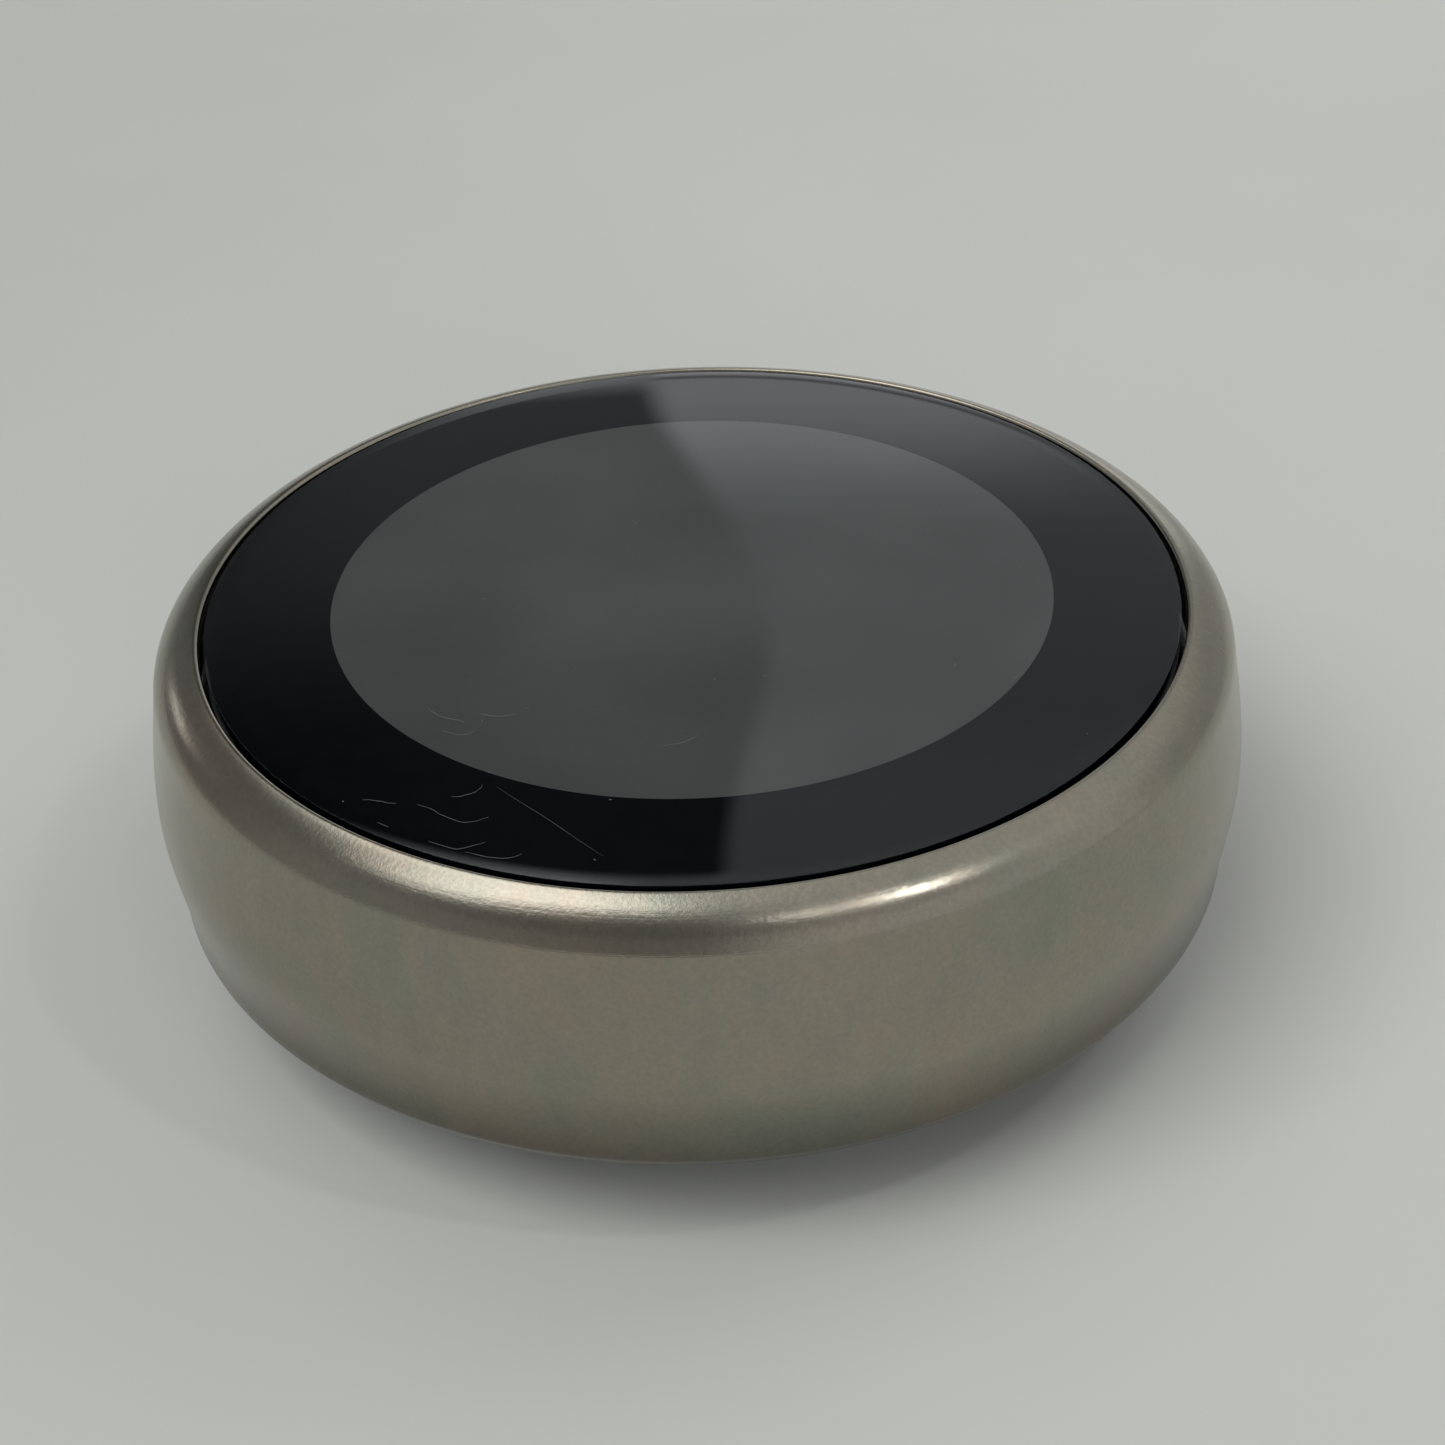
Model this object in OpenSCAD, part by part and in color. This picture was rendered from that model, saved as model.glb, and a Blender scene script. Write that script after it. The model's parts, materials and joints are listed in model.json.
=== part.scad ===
// Round wall thermostat: a glass-fronted display head with a turning metal ring,
// on a round wall base with ten push terminals.
// The wall face is z = 0, +Z points out of the wall and +Y is the top of the dial.
// All sizes are in millimetres.

/* [Ring] */
// Largest diameter of the turning ring
ring_d = 84; // [84:0.5:86]
// Diameter of the ring's bright front lip
lip_d = 74.64; // [74.6:0.02:74.8]
// Height of the ring's rear edge above the wall
ring_rear_z = 4.4; // [4.2:0.1:4.8]

/* [Front] */
// Depth from the wall to the middle of the domed glass
total_depth = 30.8; // [30.7:0.05:31]
// How far the middle of the glass stands above its edge
dome_rise = 1.2; // [0.8:0.1:1.3]
// Diameter of the glass
lens_d = 73.8; // [73.4:0.1:73.9]
// Diameter of the visible round display
screen_d = 54.8; // [54:0.2:56]

/* [Wall base] */
// Diameter of the wall base
base_d = 64.8; // [64:0.1:64.8]
// Diameter of the face that meets the wall
foot_d = 56.4; // [55:0.2:57]
// Thickness of the wall base
base_h = 8.6; // [8.5:0.05:8.7]
// Distance between the two wall screw holes
screw_spacing = 47; // [46.6:0.1:47.2]
// Diameter of each wall screw hole
screw_hole_d = 4.4; // [4:0.1:4.6]
// Diameter of the opening for the heating wires
wire_hole_d = 17; // [15:0.5:17]

/* [Motion] */
// How far the display head presses in
press_travel = 0.8; // [0.5:0.1:0.8]
// Radial running clearance of the ring on its hub
bearing_gap = 0.05; // [0.02:0.01:0.08]

/* [Hidden] */
$fn = 96;
fine_fn = 160;
eps = 0.01;

// Heights of the display head, from the front down
z_lens_edge = total_depth - dome_rise;
glass_t = 1.2;
z_lens = z_lens_edge - glass_t;
z_film = z_lens - 0.1;
z_gasket = z_film - 0.4;
z_bezel = z_gasket;
z_shelf = 24.6;
z_chassis = 21.2;
z_chassis_floor = 20.4;
z_flange = 18.6;
z_hub = 16.6;
retainer_t = 1.4;
z_retainer = z_hub - retainer_t;
z_board = 18.2;
board_t = 1;
race_gap = 0.4;

// Heights of the rear housing
z_cup = 9.6;
cup_t = 1.2;
z_cup_top = z_cup + cup_t;
z_cup_rim = 13.6;
z_skirt = 3.4;
z_link_board = 12.6;
link_board_t = 0.8;

// Heights of the wall base
floor_t = 1.8;
z_base_board = 3.2;
z_blocks = z_base_board + board_t;
cover_t = 1.2;
z_cover = base_h - cover_t;

// Push switch under the main board, worked by a plunger that the rear cup stops
switch_x = 22;
switch_y = 6;
z_switch = 14.8;
z_plunger = 13;
plunger_r = 1.2;

// Radii
ring_r = ring_d / 2;
lip_r = lip_d / 2;
lens_r = lens_d / 2;
base_r = base_d / 2;
hub_r = 32.55;
hub_in_r = 30.9;
sleeve_in_r = 38;
sleeve_r = 40.3;
board_r = 28.6;
bezel_in_r = 35.2;
cup_r = 33.8;
skirt_in_r = 32.8;

// The three guides that the head presses along
guide_r = 24.5;
guide_angles = [90, 210, 330];
guide_shank_r = 1.2;
guide_head_r = 2.1;
guide_boss_r = 3.4;
z_guide_boss = 15.2;
z_guide_seat = 16.4;

// Screws in the head
board_screw_angles = [30, 150, 270];
bezel_screw_r = 34.4;
bezel_screw_angles = [45, 135, 225, 315];
retainer_screw_r = 30.4;
retainer_screw_angles = [0, 60, 120, 180, 240, 300];

// Terminals of the wall base
tab_angles = [-40, -20, 0, 20, 40];
tab_r = 24;
tab_size = [5.6, 5.2];
tab_gap = 0.3;
z_tab = 6.6;
z_tab_top = 9.3;
block_angle = 50;
block_r = [18.6, 28.6];

// Wiring link between the wall base and the head
link_y = -14;
pin_pitch = 1.27;
pins_per_row = 10;
pin_row_y = 0.6;
port_y = -20.6;
vial_y = 14.2;
cover_boss = [13, 23.5];

// Point at parameter t on the cubic curve through p[0] and p[3]
function bezier(p, t) =
    pow(1 - t, 3) * p[0] + 3 * t * pow(1 - t, 2) * p[1]
    + 3 * t * t * (1 - t) * p[2] + pow(t, 3) * p[3];

// Points of a cubic curve in n steps, without its first point
function bezier_run(p, n) = [for (i = [1:n]) bezier(p, i / n)];

// Flat ring between two radii
module washer(r_in, r_out, h) {
    difference() {
        cylinder(r = r_out, h = h);
        translate([0, 0, -1]) cylinder(r = r_in, h = h + 2);
    }
}

// Part of a flat ring, centred on the +X direction
module arc_washer(r_in, r_out, h, half_angle) {
    rotate([0, 0, -half_angle])
        rotate_extrude(angle = 2 * half_angle)
            translate([r_in, 0]) square([r_out - r_in, h]);
}

// Copies of the children on a circle
module around(r, angles) {
    for (a = angles) rotate([0, 0, a]) translate([r, 0, 0]) children();
}

// Box centred in x and y that stands on z = 0
module block(size) {
    translate([-size[0] / 2, -size[1] / 2, 0]) cube(size);
}

// Screw with its head below and its shank upwards
module screw(head_r, head_h, shank_r, shank_h) {
    cylinder(r = head_r, h = head_h);
    translate([0, 0, head_h]) cylinder(r = shank_r, h = shank_h);
}

// ---------- wall base ----------

module base_plate() {
    cone_h = 2.6;
    wall_in_r = 29.8;
    seat_r = 30.9;
    post_r = 2.1;
    color("gainsboro") difference() {
        union() {
            difference() {
                union() {
                    cylinder(r1 = foot_d / 2, r2 = base_r, h = cone_h);
                    translate([0, 0, cone_h]) cylinder(r = base_r, h = base_h - cone_h);
                }
                translate([0, 0, floor_t]) cylinder(r = wall_in_r, h = base_h);
                translate([0, 0, z_cover]) cylinder(r = seat_r, h = base_h);
            }
            translate([0, 0, floor_t]) washer(27.6, wall_in_r + eps, z_base_board - floor_t);
            for (x = [-1, 1], y = [-1, 1])
                translate([x * cover_boss[0], y * cover_boss[1], floor_t - eps])
                    cylinder(r = post_r, h = z_cover - floor_t + eps);
            translate([0, vial_y, floor_t - eps]) for (x = [-5, 5])
                translate([x, 0, 0]) block([1.2, 4.6, 0.9]);
        }
        translate([0, 0, -1]) cylinder(d = wire_hole_d, h = base_h);
        for (s = [-1, 1]) translate([0, s * screw_spacing / 2, -1]) cylinder(d = screw_hole_d, h = base_h);
        for (s = [-1, 1]) translate([s * cover_boss[0], s * cover_boss[1], floor_t])
            cylinder(r = 0.85, h = base_h);
    }
}

// The opening around the wires that the board and the cover share
module wire_window(h) {
    intersection() {
        cylinder(r = 17.8, h = h);
        translate([-18, -8.6, 0]) cube([36, 18, h]);
    }
}

module base_cover() {
    cover_r = 30.7;
    slot = [tab_size[0] + 2 * tab_gap, tab_size[1] + 2 * tab_gap];
    color("whitesmoke") difference() {
        translate([0, 0, z_cover]) cylinder(r = cover_r, h = cover_t);
        translate([0, 0, z_cover - 1]) {
            wire_window(cover_t + 2);
            for (a = [0, 180]) rotate([0, 0, a]) around(tab_r, tab_angles)
                block([slot[0], slot[1], cover_t + 2]);
            for (s = [-1, 1]) translate([0, s * screw_spacing / 2, 0]) cylinder(r = 4.1, h = cover_t + 2);
            translate([0, link_y, 0]) block([17.4, 6.4, cover_t + 2]);
            translate([0, vial_y, 0]) block([14.6, 5.2, cover_t + 2]);
            for (s = [-1, 1]) translate([s * cover_boss[0], s * cover_boss[1], 0])
                cylinder(r = 0.9, h = cover_t + 2);
        }
        for (s = [-1, 1]) translate([s * cover_boss[0], s * cover_boss[1], base_h - 0.7])
            cylinder(r = 2.0, h = 2);
    }
}

module base_cover_screws() {
    color("silver") for (s = [-1, 1])
        translate([s * cover_boss[0], s * cover_boss[1], base_h]) difference() {
            mirror([0, 0, 1]) screw(1.9, 0.7, 0.8, 4.6);
            translate([0, 0, -0.35]) cylinder(r = 0.7, h = 1, $fn = 6);
        }
}

module base_board() {
    color("darkgreen") translate([0, 0, z_base_board]) difference() {
        cylinder(r = 29.4, h = board_t);
        translate([0, 0, -1]) {
            wire_window(board_t + 2);
            for (s = [-1, 1]) translate([0, s * screw_spacing / 2, 0]) cylinder(r = 5, h = board_t + 2);
            for (x = [-1, 1], y = [-1, 1]) translate([x * cover_boss[0], y * cover_boss[1], 0])
                cylinder(r = 2.3, h = board_t + 2);
            translate([0, vial_y, 0]) block([15, 5.4, board_t + 2]);
        }
    }
}

module base_board_parts() {
    color("dimgray") translate([0, 0, z_blocks]) for (s = [-1, 1]) {
        translate([s * 8.2, 25, 0]) cylinder(r = 1.5, h = 2.8);
        translate([s * 8.6, -20.6, 0]) block([4, 2.4, 1]);
    }
}

module socket_body() {
    color("black") translate([0, link_y, z_blocks]) difference() {
        block([17, 6, 4.2]);
        translate([0, 0, 0.8]) block([14.6, 3.2, 4]);
    }
}

// Places along one row of the wiring link's contacts
function pin_x(i) = (i - (pins_per_row - 1) / 2) * pin_pitch;

module socket_contacts() {
    color("gold") translate([0, link_y, z_blocks + 0.8])
        for (i = [0:pins_per_row - 1], s = [-1, 1])
            translate([pin_x(i), s * 1.25, 0]) block([0.5, 0.3, 3]);
}

// One side's terminal block, with a pocket and a wire entry for each tab
module terminal_block() {
    pocket_h = 0.7;
    translate([0, 0, z_blocks]) difference() {
        arc_washer(block_r[0], block_r[1], 3.1, block_angle);
        around(tab_r, tab_angles) translate([0, 0, pocket_h])
            block([tab_size[0] + 2 * tab_gap, tab_size[1] + 2 * tab_gap, 4]);
        for (a = tab_angles) rotate([0, 0, a]) translate([block_r[0] - 1, 0, 1.7])
            rotate([0, 90, 0]) cylinder(r = 0.9, h = 4);
    }
}

module terminal_block_right() {
    color("lightgray") terminal_block();
}

module terminal_block_left() {
    color("lightgray") rotate([0, 0, 180]) terminal_block();
}

module terminal_clips() {
    z_clip = z_blocks + 0.7;
    color("goldenrod") for (side = [0, 180]) rotate([0, 0, side]) around(tab_r, tab_angles)
        translate([0, 0, z_clip]) {
            translate([1.4, 0, 0]) block([3, 3.2, 0.25]);
            translate([2.5, 0, 0]) block([0.3, 3.2, 0.7]);
        }
}

// Push tab: a stem in the block's pocket and a dished thumb face above the cover
module terminal_tab(i) {
    side = i > 5 ? 180 : 0;
    angle = tab_angles[(i - 1) % 5];
    color("white") rotate([0, 0, side + angle]) translate([tab_r, 0, z_tab]) difference() {
        union() {
            block([tab_size[0], tab_size[1], z_tab_top - z_tab]);
            translate([-2, 0, -0.7]) block([1, 3.4, 0.7 + eps]);
        }
        translate([0, -tab_size[1], z_tab_top - z_tab + 5.6]) rotate([-90, 0, 0])
            cylinder(r = 6, h = 2 * tab_size[1]);
    }
}

module level_vial() {
    color("honeydew") translate([-7.1, vial_y, 5.2]) rotate([0, 90, 0]) difference() {
        cylinder(r = 2.4, h = 14.2);
        translate([0, 0, 0.9]) cylinder(r = 1.8, h = 12.4);
    }
}

module level_fluid() {
    color("yellowgreen") translate([-6.2, vial_y, 5.2]) difference() {
        rotate([0, 90, 0]) cylinder(r = 1.77, h = 12.4);
        translate([6.2, 0, 1.5]) sphere(r = 1.2);
    }
}

// ---------- rear housing ----------

module rear_cup() {
    post_x = 10.4;
    post_ys = [-12.4, -21.4];
    color("darkslategray") difference() {
        union() {
            translate([0, 0, z_skirt]) washer(skirt_in_r, cup_r, z_cup_rim - z_skirt);
            translate([0, 0, z_cup]) cylinder(r = skirt_in_r + eps, h = cup_t);
            for (s = [-1, 1], y = post_ys)
                translate([s * post_x, y, z_cup_top - eps])
                    cylinder(r = 1.3, h = z_link_board - z_cup_top + eps);
            translate([switch_x, switch_y, z_cup_top - eps])
                cylinder(r = 1.8, h = z_plunger - 0.45 - z_cup_top);
        }
        translate([0, link_y, z_cup - 1]) block([16.4, 5.4, cup_t + 2]);
        translate([0, port_y, z_cup - 1]) block([8, 3, cup_t + 2]);
        around(guide_r, guide_angles) translate([0, 0, z_cup - 1]) cylinder(r = 0.95, h = cup_t + 2);
    }
}

// Thin rubber pads that hold the cup on the wall base
module grip_pads() {
    color("dimgray") translate([0, 0, 4.4]) for (a = [30, 150, 270])
        rotate([0, 0, a]) arc_washer(base_r + 0.08, skirt_in_r, 3.6, 12);
}

module plug_body() {
    color("black") translate([0, link_y, 8.9]) block([16, 5, z_link_board - 8.9]);
}

module plug_pins() {
    color("gold") translate([0, link_y, 5.6])
        for (i = [0:pins_per_row - 1], s = [-1, 1])
            translate([pin_x(i), s * pin_row_y, 0]) block([0.5, 0.5, 3.3]);
}

module link_board() {
    color("darkgreen") translate([0, -16.9, z_link_board]) block([24, 12.6, link_board_t]);
}

// Thin strip across X that follows the points [y, z]
module ribbon(width, thickness, points) {
    back = [for (i = [len(points) - 1:-1:0]) points[i] + [thickness, 0]];
    translate([-width / 2, 0, 0]) rotate([90, 0, 90]) linear_extrude(width)
        polygon(concat(points, back));
}

// Points of a gentle wave from z0 to z1 about y
function wave(y, reach, z0, z1, n) =
    [for (i = [0:n]) [y + reach * sin(360 * i / n), z0 + (z1 - z0) * i / n]];

module link_flex() {
    color("orange") ribbon(5.6, 0.15, wave(-11.8, 0.6, z_link_board + link_board_t, z_board, 12));
}

module charging_port() {
    color("silver") translate([0, port_y, 9.7]) difference() {
        block([7.6, 2.6, z_link_board - 9.7]);
        difference() {
            translate([0, 0, -1]) block([6.9, 1.9, 3.3]);
            translate([0, 0, -eps]) block([3.8, 0.6, 3.3]);
        }
    }
}

module guide_screws() {
    color("silver") around(guide_r, guide_angles) {
        translate([0, 0, z_cup]) cylinder(r = 0.9, h = cup_t);
        translate([0, 0, z_cup_top]) cylinder(r = guide_shank_r, h = z_guide_seat + 0.05 - z_cup_top);
        translate([0, 0, z_guide_seat + 0.05]) difference() {
            cylinder(r = guide_head_r, h = 1.3);
            translate([0, 0, 0.7]) cylinder(r = 0.9, h = 1, $fn = 6);
        }
    }
}

// Corner k of the round wire's section at turn angle t of a coil
function coil_point(r, wire_r, z0, pitch, t, k) =
    let (rr = r + wire_r * cos(k), zz = z0 + pitch * t / 360 + wire_r * sin(k))
    [rr * cos(t), rr * sin(t), zz];

module coil(r, wire_r, z0, z1, turns) {
    steps = 12;
    sides = 6;
    n = turns * steps;
    pitch = (z1 - z0 - 2 * wire_r) / turns;
    points = [for (i = [0:n], k = [0:sides - 1])
        coil_point(r, wire_r, z0 + wire_r, pitch, i * 360 / steps, k * 360 / sides)];
    walls = [for (i = [0:n - 1], k = [0:sides - 1])
        let (a = i * sides + k, b = i * sides + (k + 1) % sides)
        [a, a + sides, b + sides, b]];
    ends = [[for (k = [0:sides - 1]) k], [for (k = [sides - 1:-1:0]) n * sides + k]];
    polyhedron(points = points, faces = concat(walls, ends), convexity = 8);
}

module return_springs() {
    color("silver") around(guide_r, guide_angles)
        coil(2.1, 0.25, z_cup_top, z_guide_boss, 4);
}

// ---------- push switch plunger ----------

module switch_plunger() {
    color("black") translate([switch_x, switch_y, z_plunger]) cylinder(r = plunger_r, h = 2.4);
}

// ---------- display head ----------

module lens() {
    dome_r = (lens_r * lens_r + dome_rise * dome_rise) / (2 * dome_rise);
    steps = 12;
    bevel = 0.25;
    half = asin((lens_r - bevel) / dome_r);
    arc = [for (i = [steps:-1:0])
        [dome_r * sin(half * i / steps), total_depth - dome_r * (1 - cos(half * i / steps))]];
    color([0.03, 0.035, 0.04]) rotate_extrude($fn = fine_fn)
        polygon(concat([[0, z_lens], [lens_r, z_lens], [lens_r, z_lens_edge - bevel]], arc));
}

module blackout_film() {
    color("black") translate([0, 0, z_film]) washer(screen_d / 2, lens_r - 0.2, 0.1);
}

module lens_gasket() {
    color("black") translate([0, 0, z_gasket]) washer(34, lens_r - 0.3, 0.4);
}

module lcd_panel() {
    color("slategray") translate([0, 0, 27.1]) cylinder(r = 28.6, h = z_film - 27.1);
}

module backlight() {
    color("white") translate([0, 0, 25.2]) cylinder(r = 28.5, h = 1.9);
}

module lcd_frame() {
    color("silver") translate([0, 0, z_shelf]) difference() {
        cylinder(r = 30, h = 3.6);
        translate([0, 0, 0.6]) cylinder(r = 28.7, h = 4);
    }
}

module front_bezel() {
    shelf_t = 1;
    post_h = z_bezel - 1 - z_chassis;
    color("dimgray") difference() {
        union() {
            translate([0, 0, z_chassis]) washer(bezel_in_r, lens_r, z_bezel - z_chassis);
            translate([0, 0, z_bezel - 1]) washer(33.5, bezel_in_r + eps, 1);
            translate([0, 0, z_shelf - shelf_t]) washer(22, bezel_in_r + eps, shelf_t);
            around(bezel_screw_r, bezel_screw_angles) translate([0, 0, z_chassis])
                cylinder(r = 1.6, h = post_h);
        }
        around(bezel_screw_r, bezel_screw_angles) translate([0, 0, z_chassis - 1])
            cylinder(r = 0.75, h = 4);
        translate([0, 0, z_shelf - shelf_t - 1]) rotate([0, 0, 270])
            arc_washer(30.1, bezel_in_r - 0.3, shelf_t + 2, 20);
        translate([0, 0, z_chassis - 1]) rotate([0, 0, 180]) translate([34, 0, 0])
            block([8, 5.2, z_shelf - z_chassis + 1.2]);
    }
}

module bezel_screws() {
    color("silver") around(bezel_screw_r, bezel_screw_angles)
        translate([0, 0, z_flange + 0.1]) screw(1.2, 0.9, 0.7, 4.2);
}

module head_chassis() {
    standoff_r = 2;
    color("gray") difference() {
        union() {
            rotate_extrude() polygon([
                [0, z_chassis_floor], [hub_in_r, z_chassis_floor], [hub_in_r, z_hub], [hub_r, z_hub],
                [hub_r, z_flange], [lens_r, z_flange], [lens_r, z_chassis], [0, z_chassis]
            ]);
            around(retainer_screw_r, retainer_screw_angles) translate([0, 0, z_hub + 0.3])
                cylinder(r = 1.35, h = z_chassis_floor - z_hub);
            around(guide_r, guide_angles) translate([0, 0, z_guide_boss])
                cylinder(r = guide_boss_r, h = z_chassis_floor - z_guide_boss + eps);
            around(guide_r, board_screw_angles) translate([0, 0, z_board + board_t])
                cylinder(r = standoff_r, h = z_chassis_floor - z_board - board_t + eps);
        }
        around(guide_r, guide_angles) {
            translate([0, 0, z_guide_boss - 1]) cylinder(r = guide_shank_r + bearing_gap, h = 3);
            translate([0, 0, z_guide_seat]) cylinder(r = 2.5, h = z_chassis - z_guide_seat + 1);
        }
        around(guide_r, board_screw_angles) translate([0, 0, z_board]) cylinder(r = 0.85, h = 4);
        around(retainer_screw_r, retainer_screw_angles) translate([0, 0, z_hub - 1])
            cylinder(r = 0.65, h = 4);
        around(bezel_screw_r, bezel_screw_angles) translate([0, 0, z_flange - 1]) {
            cylinder(r = 1.3, h = 2);
            cylinder(r = 0.75, h = 5);
        }
        translate([0, 20, z_chassis_floor - 1]) block([12.6, 1.8, 3]);
    }
}

// Low-friction pads above and below the ring's flange
module glide_pads() {
    pad_t = 0.3;
    color("ivory") for (a = [0:60:300]) rotate([0, 0, a]) {
        translate([0, 0, z_flange - pad_t]) arc_washer(32.9, 36.4, pad_t, 7);
        rotate([0, 0, 30]) translate([0, 0, z_hub]) arc_washer(32.9, 33.8, pad_t, 10);
    }
}

module retainer_ring() {
    color("silver") translate([0, 0, z_retainer]) difference() {
        washer(29, 34, retainer_t);
        around(retainer_screw_r, retainer_screw_angles) translate([0, 0, -1])
            cylinder(r = 0.7, h = retainer_t + 2);
    }
}

module retainer_screws() {
    color("silver") around(retainer_screw_r, retainer_screw_angles)
        translate([0, 0, z_retainer - 0.7]) screw(1.2, 0.7, 0.6, 3.8);
}

module main_board() {
    color("darkgreen") translate([0, 0, z_board]) difference() {
        cylinder(r = board_r, h = board_t);
        translate([0, 0, -1]) {
            around(guide_r, guide_angles) {
                cylinder(r = 3.8, h = board_t + 2);
                translate([0, -3.8, 0]) cube([8, 7.6, board_t + 2]);
            }
            around(guide_r, board_screw_angles) cylinder(r = 0.9, h = board_t + 2);
        }
    }
}

module board_screws() {
    color("silver") around(guide_r, board_screw_angles)
        translate([0, 0, z_board - 0.8]) screw(1.6, 0.8, 0.8, 2.6);
}

module processor_chips() {
    color("black") translate([0, 0, z_board + board_t]) {
        translate([-7, -4, 0]) block([12, 12, 0.9]);
        translate([8, -4, 0]) block([9, 11, 0.8]);
        translate([-12, 12, 0]) block([5, 5, 0.8]);
        translate([0, 20, 0]) block([12, 2, 0.9]);
        for (x = [-4, 0, 4, 8]) translate([x, 8, 0]) block([2, 1.2, 0.8]);
    }
}

module wifi_shield() {
    color("silver") translate([-10, -16, z_board - 2.2]) difference() {
        block([13, 12, 2.2]);
        translate([0, 0, 0.3]) block([12.4, 11.4, 2.2]);
    }
}

module battery_pack() {
    corner_r = 1.2;
    size = [34, 24, 4.8];
    color("steelblue") translate([0, 5, z_board - size[2]]) union() {
        block([size[0] - 2 * corner_r, size[1], size[2]]);
        block([size[0], size[1] - 2 * corner_r, size[2]]);
        for (x = [-1, 1], y = [-1, 1])
            translate([x * (size[0] / 2 - corner_r), y * (size[1] / 2 - corner_r), 0])
                cylinder(r = corner_r, h = size[2]);
    }
}

module battery_lead() {
    color("crimson") {
        translate([-21.4, 4, z_board - 2.6]) block([4, 6, 2.6]);
        for (y = [2.4, 4, 5.6]) translate([-19.4, y, z_board - 1.6])
            rotate([0, 90, 0]) cylinder(r = 0.45, h = 2.4);
    }
}

module display_flex() {
    color("orange") ribbon(10, 0.15, wave(20, 0.5, z_board + board_t + 0.9, z_shelf, 12));
}

module sensor_board() {
    color("darkgreen") translate([0, 0, z_chassis]) rotate([0, 0, 270]) arc_washer(26, 34.4, 0.8, 18);
}

module motion_sensors() {
    color("silver") translate([0, 0, z_chassis + 0.8]) around(31.8, [262, 278])
        cylinder(r = 1.4, h = 4.2);
}

module sensor_lens() {
    color("black") translate([0, 0, 26.9]) rotate([0, 0, 270]) arc_washer(30.3, 33.2, 1.3, 15);
}

module ring_sensor() {
    color("black") translate([0, 0, z_chassis]) rotate([0, 0, 180]) translate([33.8, 0, 0]) {
        block([4.8, 4.6, 2.2]);
        translate([2.4, 0, 1.1]) rotate([0, 90, 0]) cylinder(r = 0.8, h = 0.4);
    }
}

module buzzer() {
    color("black") translate([9.2, -16, z_board - 2.4]) difference() {
        cylinder(r = 4.6, h = 2.4);
        translate([0, 0, -1]) cylinder(r = 0.6, h = 1.6);
    }
}

module push_switch() {
    color("silver") translate([switch_x, switch_y, z_switch]) difference() {
        block([6, 6, z_board - z_switch]);
        translate([0, 0, -1]) cylinder(r = plunger_r + bearing_gap, h = 2.2);
    }
}

// ---------- ring ----------

// Outer profile of the ring, from the front lip over the shoulder and bulge to the undercut rear edge
function ring_profile(n) =
    let (
        top = z_lens_edge,
        shoulder = [41.02 * ring_r / 42, top - 3],
        bulge = [ring_r, top - 12],
        tail = [41 * ring_r / 42, top - 20.3],
        rear = [34.8, ring_rear_z]
    )
    concat(
        [[lip_r, top]],
        bezier_run([[lip_r, top], [lip_r + 1.18, top - 0.25], [shoulder[0] - 0.3, top - 1.4], shoulder], n),
        bezier_run([shoulder, shoulder + [0.42, -3], bulge + [0, 3], bulge], n),
        bezier_run([bulge, bulge - [0, 3], tail + [0.1, 3], tail], n),
        bezier_run([tail, tail - [0.1, 0.7], rear + [3.8, 1.9], rear], n)
    );

module ring_shell() {
    inside = [
        [34.4, ring_rear_z], [34.4, ring_rear_z + 0.9], [38.6, 8.2], [40.35, 10],
        [40.35, 26.2], [38.8, 27.6], [lip_r, 28.4]
    ];
    color("dimgray") rotate_extrude($fn = fine_fn) polygon(concat(ring_profile(6), inside));
}

// Plastic sleeve bonded inside the shell, with the flange that runs on the head's hub
module ring_carrier() {
    color("black") {
        translate([0, 0, z_cup_top]) washer(sleeve_in_r, sleeve_r, 15.2);
        translate([0, 0, z_hub + race_gap])
            washer(hub_r + bearing_gap, sleeve_in_r + eps, z_flange - z_hub - 2 * race_gap);
    }
}

module encoder_band() {
    color("white") translate([0, 0, 21.6]) washer(37.7, sleeve_in_r, 2.8);
}

base_plate();
base_cover();
base_board();
base_board_parts();
socket_body();
socket_contacts();
terminal_block_left();
terminal_block_right();
terminal_clips();
level_vial();
level_fluid();
base_cover_screws();
terminal_tab(1);  // terminal_tab_1
terminal_tab(2);  // terminal_tab_2
terminal_tab(3);  // terminal_tab_3
terminal_tab(4);  // terminal_tab_4
terminal_tab(5);  // terminal_tab_5
terminal_tab(6);  // terminal_tab_6
terminal_tab(7);  // terminal_tab_7
terminal_tab(8);  // terminal_tab_8
terminal_tab(9);  // terminal_tab_9
terminal_tab(10);  // terminal_tab_10
rear_cup();
grip_pads();
plug_body();
plug_pins();
link_board();
link_flex();
charging_port();
guide_screws();
return_springs();
switch_plunger();
lens();
blackout_film();
lens_gasket();
lcd_panel();
backlight();
lcd_frame();
front_bezel();
bezel_screws();
head_chassis();
glide_pads();
retainer_ring();
retainer_screws();
main_board();
board_screws();
processor_chips();
wifi_shield();
battery_pack();
battery_lead();
display_flex();
sensor_board();
motion_sensors();
sensor_lens();
ring_sensor();
buzzer();
push_switch();
ring_shell();
ring_carrier();
encoder_band();
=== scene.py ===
"""Looks of a round wall thermostat lying on a pale table: a domed dark glass in a satin steel ring."""
import json
import math
import random

import bmesh
import bpy
from mathutils import Matrix, Vector


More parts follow.
